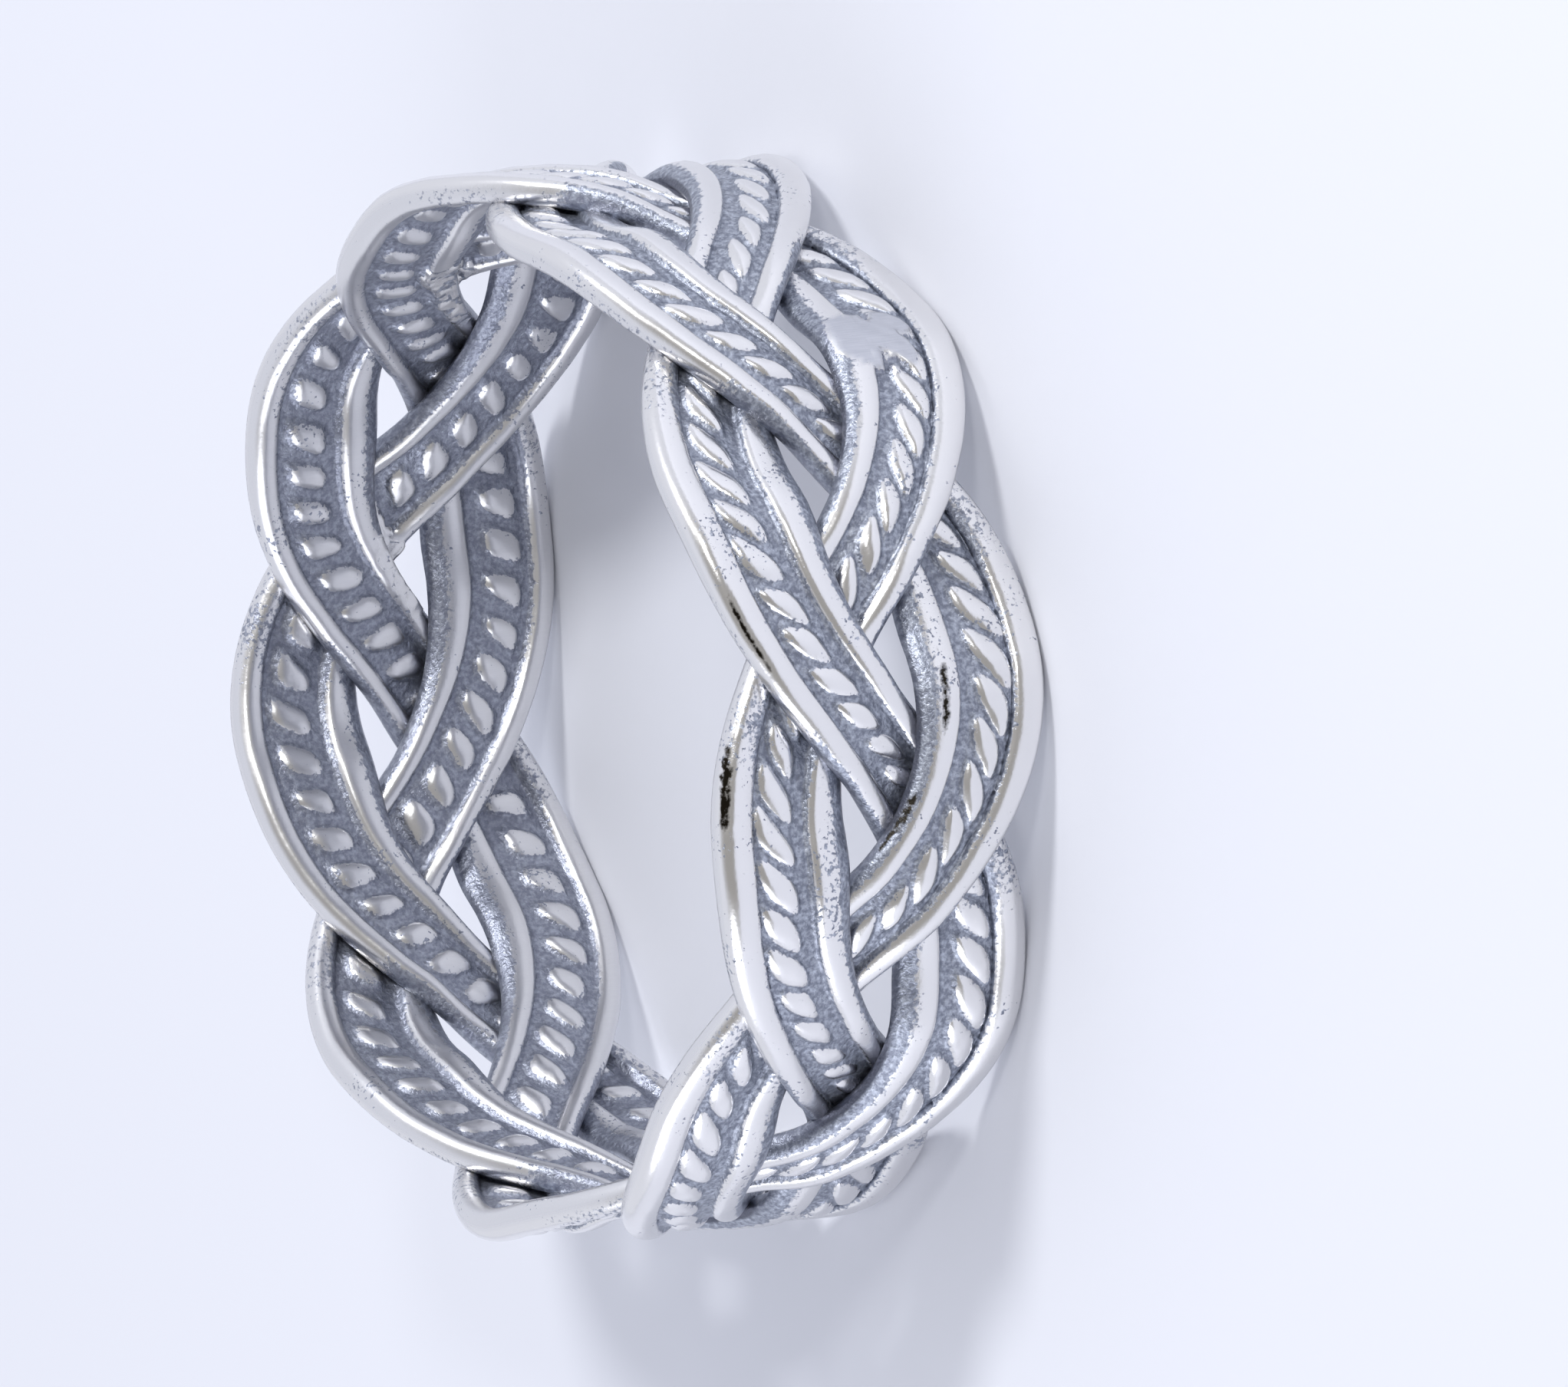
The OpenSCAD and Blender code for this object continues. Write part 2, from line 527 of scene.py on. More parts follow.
@dataclass
class Strand:
    """One plaited strand: a closed sweep with its wires and rope as relief, sizes in mm.

    Attributes:
        node: the CAD node that it stands for.
        start_lobe: number of the lobe that it starts from.
        plait: the path.
        seed: seed of the draws for the rope's turns.
        patches: the worn patches, which may lie on any strand.
        pits: the pits of this strand.
        turns: turns of the rope.
        rings_to_turn: sections to each turn.
        rope_half: half the width of the rope.
        groove: depth of the grooves beside the rope.
        floor_wave: how far a groove's floor rises and falls with the turns.
        core_h: height of the rope's core between two turns.
        turn_drop: how far the tops of the turns stay under the wires.
        turn_dome: a small value gives a turn steep sides, and 1 a gentle dome.
        gain_outside: share of a wire's gain that goes to its outer side.
        side_round: a value under 1 gives fuller sides.
        slope_round: the same for the inner slope of a wire.
        lean_full: distance from the middle line up to which the section leans in full.
        lean_none: distance from which it doesn't lean.
        crest_rough: unevenness of the crests.
        floor_rough: unevenness of the floors.
        wobble: how far the strand wanders along the ring between the rims.
        steady_rim: share of the way to a rim from which the outline doesn't wander.
        patched_side: share of the side that the patches may reach.
        rope_shade_and_shelter: how much less the rope is polished where the strand passes under,
            which also paints the shade of the strand over it.
        wire_shade_and_shelter: the same for the rest of the section.
        columns: the lines of points round the section, laid out from RELIEF.
        rope: the turns of each face, drawn from the seed.
    """

    node: str
    start_lobe: int
    plait: Plait
    seed: int
    patches: tuple[WornPatch, ...]
    pits: tuple[Pit, ...]
    turns: int = 81
    rings_to_turn: int = 16
    rope_half: float = 0.47
    groove: float = 0.19
    floor_wave: float = 0.016
    core_h: float = 0.035
    turn_drop: float = 0.015
    turn_dome: float = 0.85
    gain_outside: float = 0.4
    side_round: float = 0.8
    slope_round: float = 0.75
    lean_full: float = 0.5
    lean_none: float = 1.1
    crest_rough: float = 0.012
    floor_rough: float = 0.010
    wobble: float = 0.05
    steady_rim: float = 0.9
    patched_side: float = 0.7
    rope_shade_and_shelter: float = 0.15
    wire_shade_and_shelter: float = 0.4
    columns: list[Column] = field(init=False)
    rope: dict[int, list[RopeTurn]] = field(init=False)

    # Cells of noise to each mm: broad and fine unevenness, the wobble, and the hollows of a patch
    BROAD: ClassVar[float] = 1.7
    FINE: ClassVar[float] = 5.0
    SLOW: ClassVar[float] = 1.1
    HOLLOWS: ClassVar[float] = 2.6
    HOLLOW_EDGE: ClassVar[float] = 0.28  # noise at which a hollow ends
    FINE_FRAY: ClassVar[float] = 0.6  # how much the fine unevenness frays a patch
    SIDE_KEEPS: ClassVar[int] = 4  # how closely the polish keeps to the top of a side

    # Where an effect begins and is full: the wheel gets round a wire on the way to the rim, and a
    # strand is sheltered from the wheel on its way under another, where less polish also paints shade
    ROUND_WIRE: ClassVar[tuple[float, float]] = (0.1, 0.5)
    SHADED_AND_SHELTERED: ClassVar[tuple[float, float]] = (0.5, 1.0)

    def __post_init__(self) -> None:
        """Lays out the section's columns and casts the rope's turns."""
        self.columns = [column for face, relief in RELIEF.items() for column in relief.columns(face)]
        rng = random.Random(self.seed)
        self.rope = {
            face: [RopeTurn.cast(rng, relief) for _ in range(self.turns)]
            for face, relief in RELIEF.items()
        }

    @property
    def turn_mm(self) -> float:
        """Length of the strand from one turn of the rope to the next."""
        return 2 * math.pi * self.plait.mid_r * self.plait.wavy / self.turns

    def _across(self, c: Column, rim: float) -> tuple[float, float]:
        """Places a column across the strand.

        Args:
            c: the column.
            rim: 1 where the column's wire lies at the rim, -1 where it borders a pierced opening.

        Returns:
            Distance from the strand's middle line, and the height over the groove's floor as a
            share. On a side, the share is of half the strand's thickness.
        """
        relief = RELIEF[c.face]
        outer_half = relief.wire_w / 2 + relief.rim_gain * rim * self.gain_outside
        inner_half = relief.wire_w / 2 + relief.rim_gain * rim
        crest = self.plait.strand_w / 2 - outer_half
        phi = c.share * math.pi / 2
        if c.zone is Zone.SIDE:
            web = self.plait.web * max(0.0, -rim) ** self.plait.web_keeps * c.share
            v = crest + outer_half * math.sin(phi) + web
            return c.edge * v, math.cos(phi) ** self.side_round
        if c.zone is Zone.WIRE:
            return c.edge * (crest - inner_half * math.sin(phi)), math.cos(phi) ** self.slope_round
        if c.zone is Zone.FLOOR:
            start, end = crest - inner_half, self.rope_half
            return c.edge * (start + (end - start) * c.share), 0.0
        return c.share * self.rope_half, 0.0

    def _wave(self, c: Column, along: float) -> float:
        """Works out the wave angle of a point, which the lean moves along the strand.

        Args:
            c: the column.
            along: place along the strand in turns of the rope.

        Returns:
            The wave angle in radians.
        """
        v, _ = self._across(c, 0.0)
        fade = 1 - smoothstep(self.lean_full, self.lean_none, abs(v))
        ahead = RELIEF[c.face].lean * v * fade / self.turn_mm
        u = 2 * math.pi * self.plait.waves * (along + ahead) / self.turns
        return u - math.radians(self.plait.even) * math.sin(2 * u)

    def _rope_relief(self, face: int, along: float, v: float, lobe: float) -> tuple[float, float]:
        """Works out the height of the rope at a point.

        Args:
            face: 1 outside, -1 inside.
            along: place along the strand in turns of the rope.
            v: distance from the strand's middle line.
            lobe: 1 at a lobe and 0 in mid-band.

        Returns:
            The height over the groove's floor, and how far the polish reaches it, 0 to 1, which is low for
            painted shade in the crevices.
        """
        relief = RELIEF[face]
        nearest = math.floor(along + 0.5)
        turn = self.rope[face][nearest % self.turns]
        stretch = relief.mid_stretch + relief.lobe_stretch * lobe
        a, b = along - nearest, (v - turn.shift) / (turn.reach * stretch)
        a /= turn.width * (1 + turn.taper * b)
        inside = max(0.0, 1 - (abs(a) ** relief.blunt + abs(b) ** (relief.blunt + 1)))
        core = self.core_h * max(0.0, 1 - (v / self.rope_half) ** 2)
        top = self.groove - self.turn_drop + turn.height
        return core + (top - core) * inside**self.turn_dome, polish(inside**relief.polish_spread)

    def _relief(self, c: Column, along: float, v: float, share: float, lobe: float) -> tuple[float, float]:
        """Works out the relief at a point of a face.

        Args:
            c: the column, which isn't on a side.
            along: place along the strand in turns of the rope.
            v: distance from the strand's middle line.
            share: height of a wire's slope as a share of the groove's depth.
            lobe: 1 at a lobe and 0 in mid-band.

        Returns:
            The height over the groove's floor, and how far the polish reaches it, low for painted shade in
            the crevices.
        """
        if c.zone is Zone.WIRE:
            return self.groove * share, polish(share)
        above, rub_and_shade = self._rope_relief(c.face, along, v, lobe)
        if c.zone is Zone.FLOOR:
            above += self.floor_wave * math.cos(2 * math.pi * along)
        return above, rub_and_shade

    def _wear(self, c: Column, spot: Spot, place: Vector, broad: float, fine: float) -> None:
        """Fills and dresses a point where patches cover it.

        Args:
            c: the column.
            spot: the point, which this changes.
            place: the point as it was laid out in mm.
            broad: broad unevenness there, from about -1 to 1.
            fine: fine unevenness there.
        """
        spot.rub_and_shade = max(0.0, spot.rub_and_shade)
        over_middle, grain = spot.z - self.plait.band_w / 2, broad + self.FINE_FRAY * fine
        for patch in self.patches:
            raised = min(1.0, max(0.0, spot.above / self.groove)) if c.zone is Zone.ROPE else patch.LEVEL
            weight = patch.weight(c.face, math.degrees(spot.angle), over_middle, raised, grain)
            if weight > 0:
                depth = abs(noise.noise(place * self.HOLLOWS))
                hollow = 1 - smoothstep(0.0, self.HOLLOW_EDGE, depth)
                patch.wear(spot, weight, hollow, fine, self.groove)

    def point(self, ring: int, c: Column) -> Spot:
        """Works out one point of the strand.

        Args:
            ring: number of the section along the strand.
            c: the column round the section.

        Returns:
            The point as it was cast, polished, worn and pitted, with painted shade in its crevices and
            under a crossing.
        """
        p = self.plait
        along = ring / self.rings_to_turn
        w = self._wave(c, along)
        rim = c.edge * math.sin(w)
        v, share = self._across(c, rim)
        half = p.half_t(w)
        if c.zone is Zone.SIDE:
            # The wheel got all round a wire at the rim, but only over its top beside an opening
            out = half * share
            above = out - half + self.groove
            rub_and_shade = max(share**self.SIDE_KEEPS, smoothstep(*self.ROUND_WIRE, rim))
        else:
            above, rub_and_shade = self._relief(c, along, v, share, math.sin(w) ** 2)
            out = half - self.groove + above
        v *= p.width_share(w)
        r, angle, z = p.place(self.start_lobe, w, v, c.face * out)
        # Less polish where the strand passes under another: sheltered wear, and painted shade from the
        # strand over it
        shade_and_shelter = self.rope_shade_and_shelter if c.zone is Zone.ROPE else self.wire_shade_and_shelter
        rub_and_shade -= shade_and_shelter * smoothstep(*self.SHADED_AND_SHELTERED, -math.sin(2 * w) * c.face)
        spot = Spot(r, angle, z, above, rub_and_shade, RELIEF[c.face].satin)
        place = spot.place()
        broad, fine = noise.noise(place * self.BROAD), noise.noise(place * self.FINE)
        if c.zone is not Zone.SIDE or abs(rim) < self.steady_rim:
            spot.angle += self.wobble * noise.noise(place * self.SLOW) * (1 - rim * rim) / p.mid_r
        spot.r += c.face * (self.crest_rough * broad * share + self.floor_rough * fine * (1 - share))
        if c.zone is not Zone.SIDE or c.share < self.patched_side:
            self._wear(c, spot, place, broad, fine)
        if c.face > 0:
            for pit in self.pits:
                spot.stain = max(spot.stain, pit.weight(math.degrees(w), v, fine))
            spot.r -= Pit.DEPTH * spot.stain
        spot.r = p.mid_r + (spot.r - p.mid_r) * p.slim
        spot.z = p.band_w / 2 + (spot.z - p.band_w / 2) * p.short
        return spot

    def build(self, finish: "OxidisedSilver") -> bpy.types.Object:
        """Builds the strand, dresses it and hangs it on the frame.

        A flat grid is rolled up and closed on itself: its rows become the sections along the
        strand, and its first and last edges merge.

        Args:
            finish: the silver's finish.

        Returns:
            The finished piece.
        """
        rings, sides = self.turns * self.rings_to_turn, len(self.columns)
        bm = bmesh.new()
        bmesh.ops.create_grid(bm, x_segments=rings, y_segments=sides, size=0.5)
        layers = {name: bm.verts.layers.float.new(name) for name in ("rub_and_shade", "stain", "satin")}
        for vert in bm.verts:
            ring = round((vert.co.x + 0.5) * rings) % rings
            column = self.columns[round((vert.co.y + 0.5) * sides) % sides]
            spot = self.point(ring, column)
            vert.co = spot.place() * MM
            for name, layer in layers.items():
                vert[layer] = getattr(spot, name)
        bmesh.ops.remove_doubles(bm, verts=bm.verts[:], dist=1e-7)
        bmesh.ops.recalc_face_normals(bm, faces=bm.faces[:])
        for face in bm.faces:
            face.smooth = True
        mesh = bpy.data.meshes.new(self.node + "_silver")
        bm.to_mesh(mesh)
        bm.free()
        piece = bpy.data.objects.new(self.node + "_silver", mesh)
        bpy.context.scene.collection.objects.link(piece)
        mesh.materials.append(finish.material())
        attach(piece, "root")
        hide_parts(self.node)
        LOG.info("%s: %d faces", piece.name, len(mesh.polygons))
        return piece


@dataclass(frozen=True)
class OxidisedSilver:
    """Sterling silver, cast, darkened with liver of sulphur and then polished on its high points.

    The wires and the tops of the rope shine nearly white and show their surroundings as soft
    streaks. The grooves keep a dull, sandy blue-grey, and the border between the two is ragged. The
    light grains of the sand also paint its sparkle, and the crevices and the ways under a crossing are
    darkened with painted shade. Metal that was filed flush is a duller grey with fine scratches, and
    the pits are nearly black.

    On real silver the film's grains, the teeth of its border, the specks and the scratches are a
    few hundredths of a mm across or finer. All four are drawn coarser here, or the render would
    show a flat grey.

    Attributes:
        polished: the bright metal.
        brushed: the light lines of the filed metal.
        scratched: the dark lines of the filed metal.
        deep: the film in the crevices, its darkness partly patina and partly painted shade.
        dark: the film on the open floor, between its grains.
        dark_inside: the film inside the ring, which is more even.
        light_grain_and_sparkle: the grains of the film that the wheel touched, light enough to paint their
            sparkle too.
        stain: the pits.
        grain_mm: size of the film's grains.
        speckle_mm: size of the teeth of the ragged border.
        speck_mm: size of the dark specks that the polish left.
        cloud_mm: size of the swarms that the specks come in.
        scratch_mm: length of a scratch.
        scratch_slim: how many times longer than wide a scratch is.
        bump_mm: height of the film's grains.
        shine_rough: roughness of the bright metal.
        filed_rough: roughness of the filed metal.
        film_rough: roughness of the film.
        film_metal: how metallic the film looks.
        worn_bump: share of the grains' height that the wheel left on the bright metal.
        jitter: factor and offset of the speckle, which averages 0.5, so that the result averages 1.
        shine_from: reach of the wheel at which metal begins to shine, and at which it is bright.
        speck_from: noise at which a speck begins, and is full.
        speck_depth: what a speck takes off the wheel's reach.
        grain_from: noise at which a grain begins, and is full.
        floor_from: reach up to which the film is deep, with its painted shade, and from which it is an open
            floor's.
        pit_from: stain at which a pit begins, and is full.
    """

    polished: str = "#EBEAEA"
    brushed: str = "#D8D9DF"
    scratched: str = "#BEC1C9"
    deep: str = "#565A67"
    dark: str = "#7E8391"
    dark_inside: str = "#8F92A4"
    light_grain_and_sparkle: str = "#BDC3D0"
    stain: str = "#2B2720"
    grain_mm: float = 0.1
    speckle_mm: float = 0.11
    speck_mm: float = 0.09
    cloud_mm: float = 1.4
    scratch_mm: float = 0.5
    scratch_slim: float = 14.0
    bump_mm: float = 0.03
    shine_rough: float = 0.21
    filed_rough: float = 0.46
    film_rough: float = 0.38
    film_metal: float = 0.7
    worn_bump: float = 0.12
    jitter: tuple[float, float] = (2.2, -0.1)
    shine_from: tuple[float, float] = (0.46, 0.58)
    speck_from: tuple[float, float] = (0.375, 0.42)
    speck_depth: float = 0.5
    grain_from: tuple[float, float] = (0.4, 0.72)
    floor_from: tuple[float, float] = (-0.1, 0.05)
    pit_from: tuple[float, float] = (0.4, 0.85)

    def _shine(
        self, tree: bpy.types.NodeTree, place: bpy.types.NodeSocket, reach_and_shade: bpy.types.NodeSocket
    ) -> bpy.types.NodeSocket:
        """Works out where the metal is bright: where the wheel got to and no painted shade lies, but for
        swarms of specks.

        Args:
            tree: the material's node tree.
            place: the point in the piece's own axes.
            reach_and_shade: how far the polishing wheel got, lowered by painted shade, with a ragged edge.

        Returns:
            1 on bright metal and 0 on the dark film.
        """
        dots, cloud = (
            add_node(
                tree, "ShaderNodeTexNoise", {"Scale": 1 / (size * MM), "Detail": detail}, {"Vector": place}
            ).outputs["Fac"]
            for size, detail in ((self.speck_mm, 2.0), (self.cloud_mm, 1.0))
        )
        crowd = add_node(
            tree, "ShaderNodeMath", {"operation": "MULTIPLY"}, {0: dots, 1: cloud}
        ).outputs["Value"]
        start, full = self.speck_from
        specks = add_node(
            tree, "ShaderNodeMapRange",
            {"From Min": start, "From Max": full, "To Max": self.speck_depth}, {"Value": crowd},
        ).outputs["Result"]
        left = add_node(
            tree, "ShaderNodeMath", {"operation": "SUBTRACT"}, {0: reach_and_shade, 1: specks}
        ).outputs["Value"]
        start, full = self.shine_from
        return add_node(
            tree, "ShaderNodeMapRange", {"From Min": start, "From Max": full}, {"Value": left}
        ).outputs["Result"]

    def _film(
        self,
        tree: bpy.types.NodeTree,
        grain: bpy.types.NodeSocket,
        reach_and_shade: bpy.types.NodeSocket,
        satin: bpy.types.NodeSocket,
    ) -> bpy.types.NodeSocket:
        """Colours the dark film: sandy on an open floor, deep in a crevice with painted shade, and even
        inside.

        Args:
            tree: the material's node tree.
            grain: the film's grain.
            reach_and_shade: how far the polishing wheel got, lowered by painted shade.
            satin: how satin the finish is, which tells the inside of the ring.

        Returns:
            The film's colour.
        """
        # Light grains where the wheel touched the film, painted light enough to stand in for their sparkle
        # as well
        start, full = self.grain_from
        spread = add_node(
            tree, "ShaderNodeMapRange", {"From Min": start, "From Max": full}, {"Value": grain}
        ).outputs["Result"]
        grainy = add_node(
            tree, "ShaderNodeMix",
            {"data_type": "RGBA", MIX_FIRST: to_linear(self.dark), MIX_SECOND: to_linear(self.light_grain_and_sparkle)},
            {MIX_SHARE: spread},
        ).outputs[MIX_OUT]
        # Deep film where the reach is lowest, at the foot of a wire or a turn and under a crossing: patina
        # with painted shade
        start, full = self.floor_from
        open_floor = add_node(
            tree, "ShaderNodeMapRange", {"From Min": start, "From Max": full}, {"Value": reach_and_shade}
        ).outputs["Result"]
        outer = add_node(
            tree, "ShaderNodeMix", {"data_type": "RGBA", MIX_FIRST: to_linear(self.deep)},
            {MIX_SHARE: open_floor, MIX_SECOND: grainy},
        ).outputs[MIX_OUT]
        return add_node(
            tree, "ShaderNodeMix", {"data_type": "RGBA", MIX_SECOND: to_linear(self.dark_inside)},
            {MIX_SHARE: satin, MIX_FIRST: outer},
        ).outputs[MIX_OUT]

    def _bright(
        self, tree: bpy.types.NodeTree, place: bpy.types.NodeSocket, satin: bpy.types.NodeSocket
    ) -> bpy.types.NodeSocket:
        """Colours the bare metal: bright, or scratched where it was filed.

        Args:
            tree: the material's node tree.
            place: the point in the piece's own axes.
            satin: how satin the finish is.

        Returns:
            The bare metal's colour.
        """
        drawn_out = add_node(
            tree, "ShaderNodeMapping", {"Scale": (self.scratch_slim, self.scratch_slim, 1.0)},
            {"Vector": place},
        ).outputs["Vector"]
        scratches = add_node(
            tree, "ShaderNodeTexNoise", {"Scale": 1 / (self.scratch_mm * MM), "Detail": 2.0},
            {"Vector": drawn_out},
        ).outputs["Fac"]
        filed = add_node(
            tree, "ShaderNodeMix",
            {
                "data_type": "RGBA",
                MIX_FIRST: to_linear(self.scratched),
                MIX_SECOND: to_linear(self.brushed),
            },
            {MIX_SHARE: scratches},
        ).outputs[MIX_OUT]
        return add_node(
            tree, "ShaderNodeMix", {"data_type": "RGBA", MIX_FIRST: to_linear(self.polished)},
            {MIX_SHARE: satin, MIX_SECOND: filed},
        ).outputs[MIX_OUT]

    def _pitted(
        self,
        tree: bpy.types.NodeTree,
        silver: bpy.types.NodeSocket,
        stained: bpy.types.NodeSocket,
        jitter: bpy.types.NodeSocket,
    ) -> bpy.types.NodeSocket:
        """Darkens the pits.

        Args:
            tree: the material's node tree.
            silver: the colour of the silver round them.
            stained: how stained the point is.
            jitter: noise round 1, which makes the pits ragged.

        Returns:
            The finished colour.
        """
        ragged = add_node(
            tree, "ShaderNodeMath", {"operation": "MULTIPLY"}, {0: stained, 1: jitter}
        ).outputs["Value"]
        start, full = self.pit_from
        pitted = add_node(
            tree, "ShaderNodeMapRange", {"From Min": start, "From Max": full}, {"Value": ragged}
        ).outputs["Result"]
        return add_node(
            tree, "ShaderNodeMix", {"data_type": "RGBA", MIX_SECOND: to_linear(self.stain)},
            {MIX_SHARE: pitted, MIX_FIRST: silver},
        ).outputs[MIX_OUT]

    def material(self) -> bpy.types.Material:
        """Makes the material, or returns it if it's there.

        Returns:
            The material for all three strands.
        """
        name = "oxidised_sterling_silver"
        if name in bpy.data.materials:
            return bpy.data.materials[name]
        mat = bpy.data.materials.new(name)
        mat.use_nodes = True
        tree = mat.node_tree
        tree.nodes.clear()
        place = add_node(tree, "ShaderNodeTexCoord").outputs["Object"]
        rub_and_shade, satin, stained = (
            add_node(tree, "ShaderNodeAttribute", {"attribute_name": layer}).outputs["Fac"]
            for layer in ("rub_and_shade", "satin", "stain")
        )
        grain, speckle = (
            add_node(
                tree, "ShaderNodeTexNoise",
                {"Scale": 1 / (size * MM), "Detail": detail, "Roughness": roughness}, {"Vector": place},
            ).outputs["Fac"]
            for size, detail, roughness in ((self.grain_mm, 3.0, 0.6), (self.speckle_mm, 5.0, 0.65))
        )
        factor, offset = self.jitter
        jitter = add_node(
            tree, "ShaderNodeMath", {"operation": "MULTIPLY_ADD", 1: factor, 2: offset}, {0: speckle}
        ).outputs["Value"]
        # The wheel's reach with a ragged edge, which also carries the painted shade of the crevices and
        # crossings
        reach_and_shade = add_node(
            tree, "ShaderNodeMath", {"operation": "MULTIPLY"}, {0: rub_and_shade, 1: jitter}
        ).outputs["Value"]
        shine = self._shine(tree, place, reach_and_shade)
        silver = add_node(
            tree, "ShaderNodeMix", {"data_type": "RGBA"},
            {
                MIX_SHARE: shine,
                MIX_FIRST: self._film(tree, grain, reach_and_shade, satin),
                MIX_SECOND: self._bright(tree, place, satin),
            },
        ).outputs[MIX_OUT]
        gloss = add_node(
            tree, "ShaderNodeMapRange", {"To Min": self.shine_rough, "To Max": self.filed_rough},
            {"Value": satin},
        ).outputs["Result"]
        rough = add_node(
            tree, "ShaderNodeMapRange", {"To Min": self.film_rough}, {"Value": shine, "To Max": gloss}
        ).outputs["Result"]
        metal = add_node(
            tree, "ShaderNodeMapRange", {"To Min": self.film_metal, "To Max": 1.0}, {"Value": shine}
        ).outputs["Result"]
        # The grain stands out of the film, and the wheel took most of it off the bright metal
        bumpy = add_node(
            tree, "ShaderNodeMapRange", {"To Min": 1.0, "To Max": self.worn_bump}, {"Value": shine}
        ).outputs["Result"]
        bump = add_node(
            tree, "ShaderNodeBump", {"Distance": self.bump_mm * MM}, {"Height": grain, "Strength": bumpy}
        ).outputs["Normal"]
        shader = add_node(
            tree, "ShaderNodeBsdfPrincipled", {},
            {
                "Base Color": self._pitted(tree, silver, stained, jitter),
                "Roughness": rough,
                "Metallic": metal,
                "Normal": bump,
            },
        )
        add_node(tree, "ShaderNodeOutputMaterial", {}, {"Surface": shader.outputs["BSDF"]})
        return mat


@dataclass(frozen=True)
class MattAcrylic:
    """Cast white acrylic sheet with a matt face, which the ring lies on.

    It gives the eye a pale, cool ground with soft shadows and no reflection of the ring.
    """

    colour: str = "#D9DBE3"
    roughness: float = 0.6

    def material(self) -> bpy.types.Material:
        """Makes the material.

        Returns:
            The material for the floor.
        """
        mat = bpy.data.materials.new("matt_white_acrylic_sheet")
        mat.use_nodes = True
        shader = mat.node_tree.nodes["Principled BSDF"]
        shader.inputs["Base Color"].default_value = to_linear(self.colour)
        shader.inputs["Roughness"].default_value = self.roughness
        return mat


@dataclass(frozen=True)
class Lamp:
    """One soft round light that faces the ring.

    Attributes:
        name: the light's name.
        toward: its place in metres from the ring, along the camera's right, up and back.
        size: its width in metres.
        watts: its power.
        hue: its colour.
    """

    name: str
    toward: tuple[float, float, float]
    size: float
    watts: float
    hue: str

    def hang(self, centre: Vector, turn: Matrix) -> None:
        """Adds the light to the scene.

        Args:
            centre: the middle of the ring in metres.
            turn: the camera's turn.
        """
        data = bpy.data.lights.new(self.name, "AREA")
        data.shape, data.size, data.energy = "DISK", self.size, self.watts
        data.color = to_linear(self.hue)[:3]
        lamp = bpy.data.objects.new(self.name, data)
        bpy.context.scene.collection.objects.link(lamp)
        lamp.location = centre + turn @ Vector(self.toward)
        lamp.rotation_euler = (centre - lamp.location).to_track_quat("-Z", "Y").to_euler()


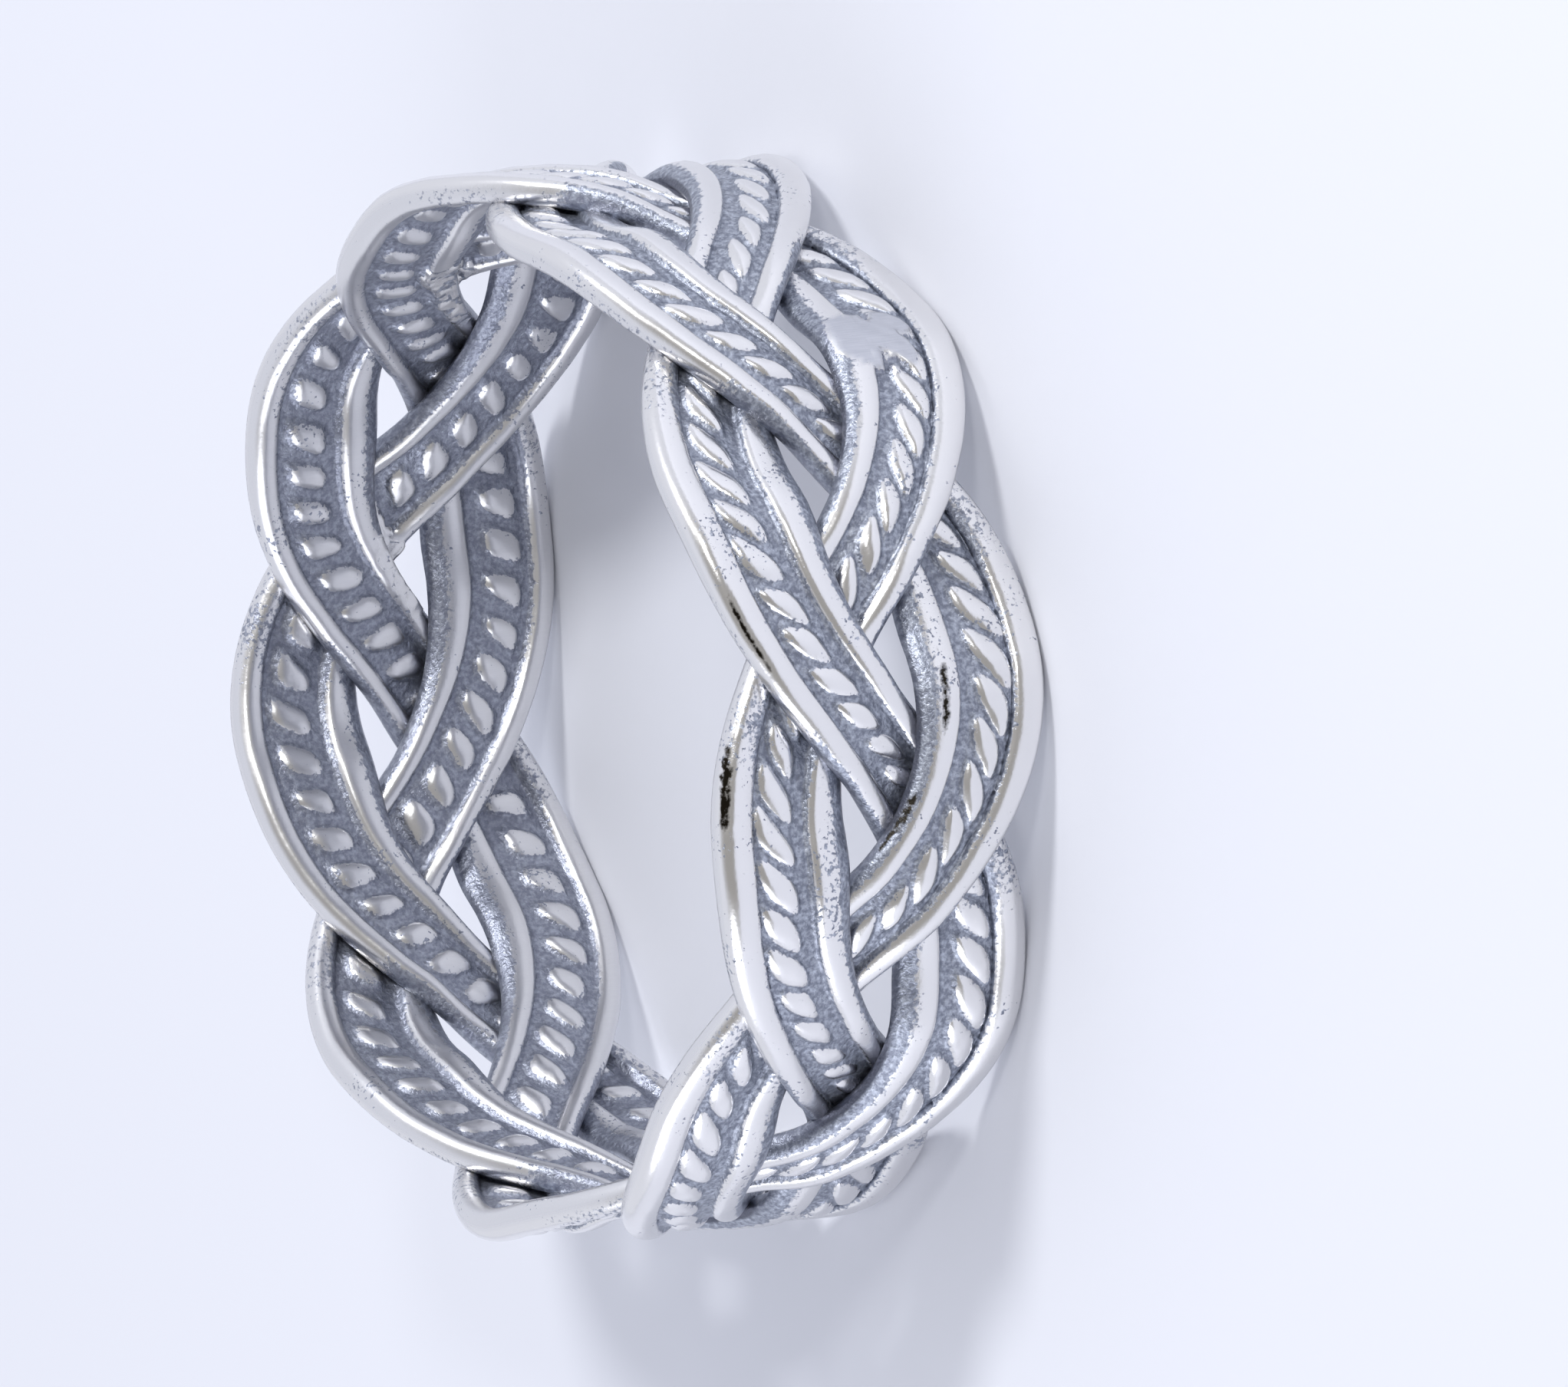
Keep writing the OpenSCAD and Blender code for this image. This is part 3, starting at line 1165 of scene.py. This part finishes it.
@dataclass(frozen=True)
class Studio:
    """Camera, soft lights and the pale floor, placed as the photograph has them.

    Attributes:
        right: the camera's right, fitted to the photograph.
        down: the camera's down, fitted in the same way.
        ahead: the way it looks, fitted in the same way.
        seat_mm: its place in mm.
        focal_px: its focal length in widths of the photograph's pixels.
        width_px: the photograph's width in pixels.
        sensor_mm: the width of its sensor.
        clip_m: the nearest and farthest distance that it sees, in metres.
        middle_mm: height of the ring's middle over the floor.
        floor_half_m: half the width of the floor in metres.
        room: the light of the room.
        behind_camera: the darker side of the room, which the metal mirrors.
        lens_side: where that side begins and is full, as the cosine of the angle to the camera.
        room_strength: strength of the room's light.
        lamps: the lights.
    """

    right: tuple[float, float, float] = (0.27133, -0.40140, -0.87479)
    down: tuple[float, float, float] = (-0.69802, -0.70784, 0.10829)
    ahead: tuple[float, float, float] = (-0.66268, 0.58124, -0.47224)
    seat_mm: tuple[float, float, float] = (308.507, -270.947, 220.202)
    focal_px: float = 32000.0
    width_px: float = 2044.0
    sensor_mm: float = 36.0
    clip_m: tuple[float, float] = (0.01, 20.0)
    middle_mm: float = 3.5
    floor_half_m: float = 2.0
    room: str = "#EDF0FB"
    behind_camera: str = "#A8A6A4"
    lens_side: tuple[float, float] = (0.35, 0.85)
    room_strength: float = 0.95
    lamps: tuple[Lamp, ...] = (
        Lamp("key_light", (-0.20, 0.22, 0.22), 0.07, 0.75, "#FFFFFF"),
        Lamp("low_light", (-0.04, -0.28, 0.12), 0.24, 0.35, "#F6F8FF"),
        Lamp("side_light", (0.24, 0.02, 0.20), 0.16, 0.2, "#EEF2FF"),
        Lamp("glint_light", (-0.05, 0.13, 0.30), 0.045, 0.2, "#FFFFFF"),
    )

    def turn(self) -> Matrix:
        """The camera's turn, from its right, up and back directions."""
        rows = (Vector(self.right), -Vector(self.down), -Vector(self.ahead))
        return Matrix(rows).transposed()

    def set_camera(self) -> None:
        """Makes the camera and sets it on the scene."""
        data = bpy.data.cameras.new("camera")
        data.sensor_width = self.sensor_mm
        data.lens = self.focal_px * self.sensor_mm / self.width_px
        data.clip_start, data.clip_end = self.clip_m
        cam = bpy.data.objects.new("camera", data)
        bpy.context.scene.collection.objects.link(cam)
        cam.matrix_world = Matrix.Translation(Vector(self.seat_mm) * MM) @ self.turn().to_4x4()
        bpy.context.scene.camera = cam

    def light_room(self) -> None:
        """Lights the world: pale all round, and darker behind the camera."""
        world = bpy.data.worlds.new("soft_room")
        bpy.context.scene.world = world
        world.use_nodes = True
        tree = world.node_tree
        seen = add_node(
            tree, "ShaderNodeVectorMath", {"operation": "DOT_PRODUCT", 1: -Vector(self.ahead)},
            {0: add_node(tree, "ShaderNodeTexCoord").outputs["Generated"]},
        ).outputs["Value"]
        start, full = self.lens_side
        lens_side = add_node(
            tree, "ShaderNodeMapRange", {"From Min": start, "From Max": full}, {"Value": seen}
        ).outputs["Result"]
        glow = add_node(
            tree, "ShaderNodeMix",
            {
                "data_type": "RGBA",
                MIX_FIRST: to_linear(self.room),
                MIX_SECOND: to_linear(self.behind_camera),
            },
            {MIX_SHARE: lens_side},
        ).outputs[MIX_OUT]
        back = tree.nodes["Background"]
        back.inputs["Strength"].default_value = self.room_strength
        tree.links.new(glow, back.inputs["Color"])

    def lay_floor(self) -> None:
        """Lays the sheet that the ring rests on, which isn't part of the object."""
        bm = bmesh.new()
        bmesh.ops.create_grid(bm, x_segments=2, y_segments=2, size=self.floor_half_m)
        mesh = bpy.data.meshes.new("floor")
        bm.to_mesh(mesh)
        bm.free()
        floor = bpy.data.objects.new("floor", mesh)
        bpy.context.scene.collection.objects.link(floor)
        mesh.materials.append(MattAcrylic().material())

    def build(self) -> None:
        """Makes the camera, the lights, the world and the floor."""
        self.set_camera()
        for lamp in self.lamps:
            lamp.hang(Vector((0, 0, self.middle_mm * MM)), self.turn())
        self.light_room()
        self.lay_floor()
        LOG.info("studio: camera, %d lights and floor", len(self.lamps))


def wear_of_the_ring() -> tuple[WornPatch, ...]:
    """Lists the patches of the ring: one filed flush outside, and two rubbed spots inside.

    Each rubbed spot is three patches in a row, because it runs askew.

    Returns:
        The patches, in the order in which they are laid on.
    """
    solder = WornPatch(
        face=1, angle=-3.6, z=-1.66, half_angle=4.6, half_z=0.88,
        fill=0.93, rough=0.03, veins=0.0, satin=1.0,
    )
    rubbed = [
        WornPatch(
            face=-1, angle=angle, z=z, half_angle=3.8, half_z=0.52,
            fill=0.95, rough=0.1, veins=1.0, satin=0.0,
        )
        for angle, z in ((72.5, 0.9), (77.3, 0.36), (82.0, -0.25))
    ]
    melted = [
        WornPatch(
            face=-1, angle=angle, z=z, half_angle=3.2, half_z=0.3,
            fill=0.97, rough=0.2, veins=0.4, satin=0.2,
        )
        for angle, z in ((116.5, 0.3), (120.0, -0.05), (123.5, -0.4))
    ]
    return (solder, *rubbed, *melted)


def main() -> None:
    """Builds the studio and the three strands, and reports each piece."""
    logging.basicConfig(level=logging.INFO, format="%(name)s: %(message)s")
    Studio().build()
    plait, finish, patches = Plait(), OxidisedSilver(), wear_of_the_ring()
    pits = {
        "first_strand": (Pit(902, 942, 1.12, 0.09), Pit(951, 991, 1.05, 0.09)),
        "second_strand": (Pit(35, 65, 0.96, 0.06),),
        "third_strand": (Pit(92, 124, 1.06, 0.09),),
    }
    for start_lobe, (node, own_pits) in enumerate(pits.items()):
        Strand(node, start_lobe, plait, seed=11 + start_lobe, patches=patches, pits=own_pits).build(finish)
    bpy.context.scene.view_settings.view_transform = "Standard"


if __name__ == "__main__":
    main()
